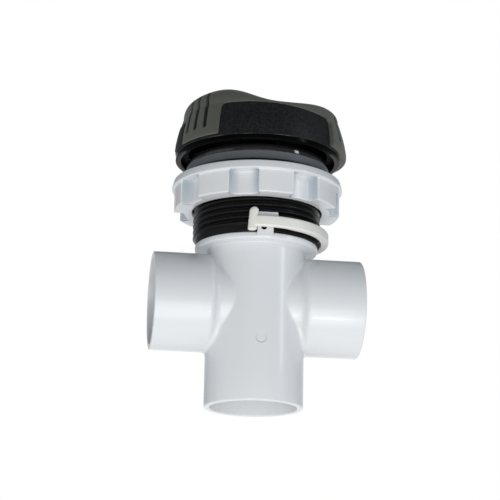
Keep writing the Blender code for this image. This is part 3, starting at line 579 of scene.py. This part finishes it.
def thread(root):
    """One ridge wound as a screw: its section, one pitch tall, follows the root and fades at both ends."""
    start, stop = THREAD_Z
    count = round((stop - start) / THREAD_PITCH * SMALL_STEPS)
    section = [
        (-0.5, 0.0), (-0.43, 0.03), (-0.13, 0.95), (-0.08, 1.0),
        (0.08, 1.0), (0.13, 0.95), (0.43, 0.03), (0.5, 0.0),
    ]
    u = np.arange(count + 1)
    fade = np.clip(np.minimum(u, count - u) / (THREAD_FADE * SMALL_STEPS), 0, 1)
    angle = u * math.tau / SMALL_STEPS
    rows = []
    for share, height in section:
        radius = root + (THREAD_CREST_R - root) * height * fade
        rows.append(on_cylinder(radius, angle, start + THREAD_PITCH * (u / SMALL_STEPS + share)))
    return rows


collar = Skin().lathe([
    (THREAD_ROOT_R - 0.03, COLLAR_FLANGE_Z[0] + 1.0, 0), (THREAD_ROOT_R - 0.03, COLLAR_FOOT, 0.8),
    (COLLAR_BORE_R, COLLAR_FOOT, 0.4), (COLLAR_BORE_R, COLLAR_FLANGE_Z[0] + 1.0, 0),
])
collar.sheet(thread(THREAD_ROOT_R - 0.05), wrap=False)
collar_skin = collar.mesh("collar_thread", sharp=30.0)
add("collar_thread", collar_skin, THREAD_BLACK, "black_plastic", "valve", "threaded_collar")

flange = Skin().lathe([
    (COLLAR_FLANGE_R, COLLAR_FLANGE_Z[1], 0.6), (COLLAR_FLANGE_R, COLLAR_FLANGE_Z[0], 0.8),
    (THREAD_ROOT_R, COLLAR_FLANGE_Z[0], 0), (COLLAR_BORE_R, COLLAR_FLANGE_Z[0], 0),
    (COLLAR_BORE_R, COLLAR_FLANGE_Z[1], 0.3),
])
add("collar_flange", flange.mesh("collar_flange"), SATIN, "black_plastic", "valve", "threaded_collar")


def clip():
    """The C-shaped clip: a rounded band with rounded ends, and the finger post at its start."""
    inner, outer = CLIP_R
    low, high = CLIP_Z
    band = Skin()
    section = rounded([(outer, high, 1.5), (outer, low, 1.3), (inner, low, 0.9), (inner, high, 0.9)])
    middle = np.array(((inner + outer) / 2, (low + high) / 2))
    along = np.linspace(0, 1, 121)
    reach = 1.9 / (middle[0] * CLIP_ARC)
    tip = [math.pi / 2 * k / 8 for k in range(9)]
    shares = [reach * (1 - math.cos(bend)) for bend in tip]
    sizes = [max(math.sin(bend), 0.02) for bend in tip]
    shares += list(along[(along > reach) & (along < 1 - reach)])
    sizes += [1.0] * (len(shares) - len(tip))
    shares += [1 - s for s in reversed(shares[:len(tip)])]
    sizes += list(reversed(sizes[:len(tip)]))
    rows = []
    for share, size in zip(shares, sizes):
        angle = CLIP_START + CLIP_ARC * share
        thicker = 1.5 * ease((math.degrees(angle) + 76.0) / 14.0)
        ring = middle + (section - middle) * size
        ring[:, 0] -= thicker * size * (ring[:, 0] < middle[0])
        rows.append(on_cylinder(ring[:, 0], angle + 0 * ring[:, 0], ring[:, 1]))
    band.sheet(rows)
    foot, top = POST_Z
    profile = rounded([(0.01, top, 0), (POST_R, top, 2.9), (POST_R, foot, 1.2), (0.01, foot, 0)], False, 8)
    post = turned(profile, even(48), False) * (POST_FLATNESS, 1.0, 1.0) + (middle[0], 0, 0)
    post[..., 1] += POST_LEAN * (post[..., 2] - middle[1])
    turn = np.array(Matrix.Rotation(CLIP_START + math.radians(2.0), 3, "Z"))
    band.sheet(post @ turn.T)
    return band.mesh("retaining_clip_band")


add("retaining_clip_band", clip(), CLIP_WHITE, "clip_plastic", "valve", "retaining_clip")


def nut_outline():
    """Once round the nut's lugs and recesses, seen along its axis."""
    pitch = math.tau / LUGS
    corners = []
    for i in range(LUGS):
        lug = FIRST_LUG + i * pitch
        spread = np.linspace(-1, 1, 13) * LUG_HALF
        for k, angle in enumerate(spread):
            corners.append((NUT_LUG_R, lug + angle, 0.8 if k in (0, 12) else 0))
        gap = pitch / 2 - LUG_HALF
        for share in (-0.97, -0.5, -0.25, 0.0, 0.25, 0.5, 0.97):
            corners.append((NUT_RECESS_R, lug + pitch / 2 + share * gap, 4.0 if abs(share) > 0.9 else 0))
    flat = [(r * math.cos(a), r * math.sin(a), bend) for r, a, bend in corners]
    return rounded(flat, True, 6)


def nut():
    """The ring nut: a plain bore, lugs and recesses open at the foot, and the flange above them."""
    outline = nut_outline()
    count = len(outline)
    ahead = np.roll(outline, -1, axis=0) - np.roll(outline, 1, axis=0)
    outward = np.stack((ahead[:, 1], -ahead[:, 0]), axis=1) / np.linalg.norm(ahead, axis=1)[:, None]
    start = math.atan2(outline[0, 1], outline[0, 0])
    angles = start + np.arange(count) * math.tau / count
    rim = np.stack((np.cos(angles), np.sin(angles)), axis=1)
    low, high = NUT_Z
    levels = []
    edge, cove = 0.8, 0.9
    bends = np.linspace(0, math.pi / 2, 6)
    foot = NUT_FLANGE_FOOT
    inside = rounded([
        (NUT_BORE_R, high - 2.0, 0), (NUT_BORE_R, low, 1.2), (NUT_BORE_R + 3.0, low, 0)
    ], False)
    for radius, z in inside:
        levels.append((rim * radius, z))
    for bend in bends:
        levels.append((outline - outward * edge * (1 - math.sin(bend)), low + edge * (1 - math.cos(bend))))
    for share in np.linspace(0.1, 0.9, 6):
        levels.append((outline, low + edge + (foot - cove - low - edge) * share))
    for bend in bends:
        levels.append((outline + outward * cove * (1 - math.cos(bend)), foot - cove * (1 - math.sin(bend))))
    outside = rounded([
        (NUT_LUG_R + 1.0, foot, 0), (NUT_FLANGE_R[0], foot, 0.7), (NUT_FLANGE_R[0] - 0.2, foot + 1.6, 0),
        (NUT_FLANGE_R[1], high, 1.2), (NUT_BORE_R, high, 0.8), (NUT_BORE_R, high - 2.0, 0),
    ], False)
    for radius, z in outside:
        levels.append((rim * radius, z))
    made = Skin()
    made.sheet([np.column_stack((flat, np.full(count, z))) for flat, z in levels])
    return made.mesh("lock_nut_moulding", sharp=50.0)


add("lock_nut_moulding", nut(), NUT_WHITE, "white_plastic", "lock_nut", "lock_nut")

simple = {
    "slip_washer": ([(56.5, 162.0, 0.2), (56.5, 161.0, 0.2), (45.4, 161.0, 0.2), (45.4, 162.0, 0.2)],
                    THREAD_BLACK, "black_plastic", "nut_carriage"),
    "flange_gasket": ([(50.1, 164.1, 0.4), (50.1, 162.3, 0.4), (45.0, 162.3, 0.4), (45.0, 164.1, 0.4)],
                      RUBBER, "seal_rubber", "valve"),
    "bonnet_ring": ([(49.5, 175.4, 0.7), (49.5, 170.7, 0.4), (37.75, 170.7, 0.3), (37.75, 156.3, 0.4),
                     (32.0, 156.3, 0.4), (32.0, 175.4, 0.6)],
                    GLOSS, "gloss_black_plastic", "valve"),
    "stem_bush": ([(9.2, 161.7, 0.3), (9.2, 150.3, 0.3), (6.9, 150.3, 0.3), (6.9, 161.7, 0.3)],
                  CLIP_WHITE, "clip_plastic", "valve"),
    "lower_wear_ring": ([(29.8, 46.5, 0.3), (29.8, 44.3, 0.3), (26.6, 44.3, 0.3), (26.6, 46.5, 0.3)],
                        CLIP_WHITE, "clip_plastic", "valve"),
    "thrust_washer": ([(12.0, 137.7, 0.3), (12.0, 135.7, 0.3), (6.95, 135.7, 0.3), (6.95, 137.7, 0.3)],
                      CLIP_WHITE, "clip_plastic", "handle"),
    "screw_washer": ([(6.5, 200.8, 0.2), (6.5, 199.7, 0.2), (2.6, 199.7, 0.2), (2.6, 200.8, 0.2)],
                     STEEL, "stainless_steel", "handle"),
    "bonnet": ([(13.0, 162.0, 0.5), (13.0, 155.0, 0.8), (37.4, 155.0, 0.5), (37.4, 148.3, 0.4),
                (29.85, 148.3, 0.3), (29.85, 143.1, 0.2), (27.5, 143.1, 0.2), (27.5, 140.3, 0.2),
                (29.85, 140.3, 0.2), (29.85, 138.0, 0.6), (25.6, 138.0, 0.4), (25.6, 144.5, 0.8),
                (13.0, 144.5, 0.8), (13.0, 138.0, 0.4), (7.1, 138.0, 0.3), (7.1, 150.0, 0.2),
                (9.5, 150.0, 0.2), (9.5, 162.0, 0.3)],
               INNER, "inner_plastic", "valve"),
    "handle_cap": ([(0.01, 206.8, 0), (13.9, 206.8, 0.7), (13.9, 204.0, 0.3), (12.1, 204.0, 0.3),
                    (12.1, 205.0, 0.2), (0.01, 205.0, 0)],
                   PANEL_BLACK, "black_plastic", "handle"),
}
for node, (corners, finish, slot, body) in simple.items():
    title = f"{node}_moulded"
    steps = SMALL_STEPS if corners[0][0] < SMALL_R else STEPS
    add(title, Skin().lathe(corners, even(steps)).mesh(title), finish, slot, body, node)

seals = {
    "collar_oring": (36.2, 1.25, 142.0, "valve"),
    "bonnet_oring": (28.9, 1.05, 141.7, "valve"),
    "stem_oring_lower": (5.95, 0.85, 141.5, "handle"),
    "stem_oring_upper": (5.95, 0.85, 146.5, "handle"),
}
for node, (major, minor, height, body) in seals.items():
    spin = -even(20)
    section = np.column_stack((major + minor * np.cos(spin), height + minor * np.sin(spin)))
    title = f"{node}_round"
    data = Skin().sheet(turned(section, even(SMALL_STEPS))).mesh(title)
    add(title, data, RUBBER, "seal_rubber", body, node)


# The handle

def envelope_radius(angle, height):
    """The handle's radius without grooves: it narrows upwards, and the nose reaches further out."""
    rise = (height - GRIP_FOOT) / (GRIP_BARREL_TOP - GRIP_FOOT)
    nose = NOSE * max(0.0, math.cos(angle)) ** 2 * (1.0 - 0.25 * rise)
    return GRIP_R - GRIP_BARREL * max(rise, 0.0)**1.5 + nose


def envelope_top(x):
    """The top's height along the handle: a saddle between the low hump of the nose and the tall one."""
    hump_x, hump_z = NOSE_HUMP if x > 0 else TAIL_HUMP
    share = x / hump_x
    if share < 1.0:
        return SADDLE_TOP + (hump_z - SADDLE_TOP) * math.sin(math.pi / 2 * share) ** 2
    beyond = (abs(x) - abs(hump_x)) / (GRIP_R - abs(hump_x))
    return hump_z - HUMP_FALL * beyond**2


def envelope_point(angle, level):
    """The handle's outer form: wall from 0 to 1, shoulder to 2, top to the cap's well at 3."""
    endness = math.cos(angle) ** 2
    shoulder_z = SHOULDER_Z[0] + (SHOULDER_Z[1] - SHOULDER_Z[0]) * endness
    end_width = NOSE_SHOULDER if math.cos(angle) > 0 else SHOULDER_WIDTH[1]
    width = SHOULDER_WIDTH[0] + (end_width - SHOULDER_WIDTH[0]) * endness
    edge = envelope_radius(angle, shoulder_z) - width
    if level <= 1.0:
        height = GRIP_FOOT + (shoulder_z - GRIP_FOOT) * level
        radius = envelope_radius(angle, height)
    elif level <= 2.0:
        bend = math.pi / 2 * (level - 1.0)
        fullness = 1.0 - 0.22 * abs(math.cos(angle))
        radius = edge + width * max(math.cos(bend), 0.0) ** fullness
        rise = envelope_top(edge * math.cos(angle)) - shoulder_z
        height = shoulder_z + rise * math.sin(bend) ** fullness
    else:
        radius = edge + (WELL_R + 0.7 - edge) * (level - 2.0)
        height = envelope_top(radius * math.cos(angle))
    return np.array((radius * math.cos(angle), radius * math.sin(angle), height))


def groove_depth(angle, level):
    """How far a finger groove sinks the grip at a point: a round-ended channel over wall and shoulder."""
    turn = abs((angle + math.pi / 2) % math.pi - math.pi / 2)
    k = int(np.argmin(abs(GROOVE_ANGLES - turn)))
    high = 1.52 + 0.05 * k
    across = (turn - GROOVE_ANGLES[k]) * (GROOVE_ARC_R - 12.0 * max(level - 1.2, 0.0))
    along = WALL_HEIGHT * (max(GROOVE_FOOT - level, 0.0) + max(level - high, 0.0))
    away = math.hypot(across, along) - GROOVE_WIDTH / 2
    return GROOVE_DEPTH * min(max(-away / 0.4 + 0.2, 0.0), 1.0)


def leaning(angle, level):
    """An angle moved towards the end's middle as the level climbs, in step with the leaning grooves."""
    turn = (angle + math.pi / 2) % math.pi - math.pi / 2
    share = ease((math.degrees(abs(turn)) - 3.0) / 9.0) * ease((44.0 - math.degrees(abs(turn))) / 8.0)
    return angle - math.copysign(GROOVE_LEAN * share, turn) * (min(level, 2.0) - GROOVE_FOOT)


def spine_height(angle, height):
    """0 on the grip and 1 on the spine at the tail's end."""
    turn = abs((angle % math.tau) - math.pi)
    away = max((turn - SPINE_HALF_ARC) * GRIP_R, height - SPINE_TOP)
    return min(max(-away / 0.3, 0.0), 1.0)


def window_depth(angle, height):
    """0 on the grip and 1 inside a panel's window, whose upper corners are rounded."""
    turn = (angle + math.pi) % math.pi - math.pi / 2
    to_nose = turn if math.sin(angle) < 0 else -turn
    share = (height - PANEL_FOOT) / (PANEL_TOP - PANEL_FOOT)
    reach = PANEL_NOSE_ARC + PANEL_LEAN * (share - 0.5) if to_nose > 0 else PANEL_TAIL_ARC
    top = min(PANEL_TOP, PANEL_MIDDLE - PANEL_SLOPE * GRIP_R * math.sin(to_nose))
    corner = 4.2
    a = (abs(turn) - reach) * PANEL_ARC_R + corner
    b = height - (top + 0.3) + corner
    away = math.hypot(max(a, 0.0), max(b, 0.0)) + min(max(a, b), 0.0) - corner
    return min(max(-away / 0.55, 0.0), 1.0)


def overmould():
    """The soft grips over both ends and the top, their grooves' floors, and the spine at the tail's end."""
    offsets = np.array((0.0, 0.6, 1.1, 1.25, 1.38, 1.51, 1.65, 1.85, 2.5)) / GROOVE_ARC_R
    angles = list(np.radians(np.arange(0, 360, 2.5)))
    for end in (0.0, math.pi):
        for centre in np.concatenate((end + GROOVE_ANGLES, end - GROOVE_ANGLES)):
            angles += list(centre + offsets) + list(centre - offsets)
    for step in (-0.15, 0.0, 0.1, 0.2, 0.32, 0.5):
        spine_side = SPINE_HALF_ARC - step / GRIP_R
        angles += [math.pi - spine_side, math.pi + spine_side]
    for middle in (math.pi / 2, -math.pi / 2):
        for side in (-1, 1):
            for step in np.arange(-0.9, 5.0, 0.3):
                for arc_end in (PANEL_TAIL_ARC, PANEL_NOSE_ARC):
                    angles.append(middle + side * (arc_end - step / PANEL_ARC_R))
    angles = np.unique(np.round(np.mod(angles, math.tau), 4))
    levels = np.concatenate((
        np.linspace(0.06, 0.27, 5), np.linspace(0.29, 0.40, 9), np.linspace(0.45, 0.65, 5),
        (0.664, 0.671, 0.678, 0.7), np.linspace(0.74, 1.02, 22), np.linspace(1.06, 2.0, 22),
        np.linspace(2.05, 3.0, 18),
    ))
    sink = np.zeros((len(levels), len(angles)))
    skin = np.zeros((len(levels), len(angles), 3))
    window, spine = np.zeros_like(sink), np.zeros_like(sink)
    for j, level in enumerate(levels):
        for i, angle in enumerate(angles):
            skin[j, i] = envelope_point(leaning(angle, level), level)
            sink[j, i] = groove_depth(angle, level)
            if level < 1.1:
                window[j, i] = window_depth(angle, skin[j, i, 2])
                spine[j, i] = spine_height(angle, skin[j, i, 2])
    across = np.roll(skin, -1, axis=1) - np.roll(skin, 1, axis=1)
    along = np.gradient(skin, axis=0)
    normal = np.cross(across, along)
    normal /= np.linalg.norm(normal, axis=2)[..., None]
    skin -= normal * (sink - SPINE_HEIGHT * spine)[..., None]
    radius = np.hypot(skin[..., 0], skin[..., 1])
    skin[..., :2] *= (1 + (WINDOW_R / radius - 1) * window)[..., None]
    radius = np.hypot(skin[..., 0], skin[..., 1])

    def ring(directions, reach, height):
        return np.column_stack((directions * reach, height + np.zeros(len(angles))))

    edge, outer = 1.0, radius[0][:, None]
    direction = skin[0, :, :2] / outer
    foot = [ring(direction, GRIP_INNER_R, GRIP_FOOT)]
    for bend in np.linspace(0, math.pi / 2, 6):
        reach = outer - edge * (1 - math.sin(bend))
        foot.append(ring(direction, reach, GRIP_FOOT + edge * (1 - math.cos(bend))))
    nose = np.clip(np.cos(angles), 0, 1) ** 8
    for row in foot:
        row[:, 2] -= 2.0 * nose * (np.hypot(row[:, 0], row[:, 1]) > 59.0)
    top = skin[-1]
    inward = top[:, :2] / np.hypot(top[:, 0], top[:, 1])[:, None]
    well = []
    for bend in np.linspace(0.2, math.pi / 2, 5):
        reach = WELL_R + 0.7 * (1 - math.sin(bend))
        well.append(ring(inward, reach, top[:, 2] - 0.7 * (1 - math.cos(bend))))
    well.append(ring(inward, WELL_R, PANEL_TOP + 0.3))
    rows = np.concatenate((np.array(foot), skin, np.array(well)))
    below, above = np.zeros((len(foot), len(angles))), np.zeros((len(well), len(angles)))
    hidden = np.concatenate((below, window, above)).reshape(-1)
    floors = np.concatenate((below, sink, above)).reshape(-1) > 0.98 * GROOVE_DEPTH
    raised = np.concatenate((below + spine[:1], spine, above)).reshape(-1) > 0.0
    turn = np.array(Matrix.Rotation(HANDLE_ANGLE, 3, "Z"))
    made = Skin()
    made.sheet(rows @ turn.T)

    def is_floor(quads):
        return floors[quads].all(axis=1)

    def is_spine(quads):
        return raised[quads].any(axis=1)

    def is_grip(quads):
        return (hidden[quads].min(axis=1) < 0.999) & ~is_floor(quads) & ~is_spine(quads)

    return (
        made.mesh("handle_grips", keep=is_grip, sharp=60.0), made.mesh("groove_floors", keep=is_floor),
        made.mesh("tail_spine", keep=is_spine),
    )


grips, groove_floors, tail_spine = overmould()
add("handle_grips", grips, GRIP, "grip_rubber", "handle", "handle_overmould")
add("groove_floors", groove_floors, MATTE, "black_plastic", "handle", "handle_overmould")
add("tail_spine", tail_spine, PANEL_BLACK, "black_plastic", "handle", "handle_base")

panels = Skin().lathe([
    (WELL_R, PANEL_TOP, 0), (53.9, PANEL_TOP, 1.0), (57.0, 190.0, 40.0), (58.3, PANEL_FOOT, 0.4),
    (57.6, PANEL_FOOT, 0.2), (51.6, PANEL_TOP - 2.0, 0), (WELL_R, PANEL_TOP - 2.0, 0),
])
add("handle_panels", panels.mesh("handle_panels"), PANEL_BLACK, "black_plastic", "handle", "handle_base")
skirt = Skin().lathe([
    (SKIRT_R - 0.5, PANEL_FOOT + 0.6, 0), (SKIRT_R - 0.1, SKIRT_Z[0], 0.5), (SKIRT_BORE_R, SKIRT_Z[0], 0.4),
    (SKIRT_BORE_R, SKIRT_Z[0] + 4.0, 0), (57.0, SKIRT_Z[0] + 4.0, 0),
])
add("handle_skirt", skirt.mesh("handle_skirt"), POLISHED, "black_plastic", "handle", "handle_base")
hollow = Skin().lathe([
    (SKIRT_BORE_R + 0.8, SKIRT_Z[0] + 3.9, 0), (48.8, SKIRT_Z[1], 1.0), (48.0, HOLLOW_TOP, 2.0),
    (HUB_R, HOLLOW_TOP, 1.5), (HUB_R, HUB_FOOT, 0.5), (STEM_HOLE_R, HUB_FOOT, 0.3),
    (STEM_HOLE_R, SCREW_FLOOR, 0), (WELL_R, SCREW_FLOOR, 0.5), (WELL_R, PANEL_TOP - 2.2, 0),
    (51.2, PANEL_TOP - 2.2, 0), (56.6, SKIRT_Z[0] + 4.4, 0),
])
add("handle_hollow", hollow.mesh("handle_hollow"), MATTE, "black_plastic", "handle", "handle_base")

kept = {"stem": INNER, "diverter_rotor": INNER, "gate_seal": RUBBER, "handle_screw": STEEL}
for node, finish in kept.items():
    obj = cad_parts[node]
    obj.data.materials.clear()
    obj.data.materials.append(finish)


# Studio

def area_light(name, at, aim, size, power, colour=(1.0, 1.0, 1.0)):
    lamp = bpy.data.lights.new(name, "AREA")
    lamp.shape = "RECTANGLE"
    lamp.size, lamp.size_y = size
    lamp.energy = power
    lamp.color = colour
    obj = bpy.data.objects.new(name, lamp)
    obj.location = at
    obj.rotation_euler = (Vector(aim) - Vector(at)).to_track_quat("-Z", "Y").to_euler()
    bpy.context.scene.collection.objects.link(obj)


aim = (0.0, 0.0, 0.11)
area_light("low_front", (-0.1, -1.0, -0.55), aim, (1.1, 0.8), 7.6, (1.0, 0.985, 0.965))
area_light("strip", (0.3, -1.0, -0.62), (0.05, 0.0, 0.07), (0.22, 0.1), 0.9)
area_light("left_side", (-1.25, -0.35, -0.1), aim, (1.4, 1.4), 2.2)
area_light("window", (1.18, -0.75, 0.6), (0.0, 0.0, 0.17), (0.17, 0.6), 2.6, (0.82, 0.92, 1.0))
area_light("top", (0.1, 0.3, 1.4), aim, (1.2, 1.2), 1.5)
area_light("back", (0.3, 1.3, 0.2), aim, (1.6, 1.0), 3.0)

world = bpy.data.worlds.new("studio")
world.use_nodes = True
bpy.context.scene.world = world
nodes, links = world.node_tree.nodes, world.node_tree.links
backdrop, fill = nodes["Background"], nodes.new("ShaderNodeBackground")
backdrop.inputs["Color"].default_value = (1.0, 1.0, 1.0, 1.0)
backdrop.inputs["Strength"].default_value = 1.0
fill.inputs["Color"].default_value = (0.86, 0.94, 1.0, 1.0)
fill.inputs["Strength"].default_value = 0.24
seen, mix = nodes.new("ShaderNodeLightPath"), nodes.new("ShaderNodeMixShader")
links.new(seen.outputs["Is Camera Ray"], mix.inputs["Fac"])
links.new(fill.outputs["Background"], mix.inputs[1])
links.new(backdrop.outputs["Background"], mix.inputs[2])
links.new(mix.outputs["Shader"], nodes["World Output"].inputs["Surface"])

floor_mesh = bpy.data.meshes.new("floor")
reach, depth = 60.0, -1.3
floor_mesh.from_pydata(
    [(-reach, -reach, depth), (reach, -reach, depth), (reach, reach, depth), (-reach, reach, depth)],
    [], [(0, 1, 2, 3)],
)
floor = bpy.data.objects.new("floor", floor_mesh)
bpy.context.scene.collection.objects.link(floor)
paper = Finish("pale_paper", Emission_Color=(1.0, 1.0, 1.0, 1.0), Emission_Strength=0.5)
paper.colour(paper.ramp(paper.noise(3.0), (0.86, 0.86, 0.86), (0.9, 0.9, 0.9)))
paper.roughness(paper.ramp(paper.noise(40.0), 0.7, 0.8))
floor_mesh.materials.append(paper.material)


# Camera

azimuth, elevation, roll = math.radians(-7.63), math.radians(-15.045), math.radians(1.079)
target, distance = Vector((-4.249, 0.0, 112.5)) * MM, 1.2857
back = Vector((
    math.sin(azimuth) * math.cos(elevation), -math.cos(azimuth) * math.cos(elevation), math.sin(elevation)
))
right = Vector((0, 0, 1)).cross(back).normalized()
up = back.cross(right)
right, up = right * math.cos(roll) + up * math.sin(roll), up * math.cos(roll) - right * math.sin(roll)
lens = bpy.data.cameras.new("camera")
lens.lens, lens.sensor_width = 131.85, 36.0
camera = bpy.data.objects.new("camera", lens)
turn = Matrix((right, up, back)).transposed().to_4x4()
camera.matrix_world = Matrix.Translation(target + back * distance) @ turn
bpy.context.scene.collection.objects.link(camera)
bpy.context.scene.camera = camera
bpy.context.scene.view_settings.view_transform = "Standard"

bpy.context.view_layer.update()
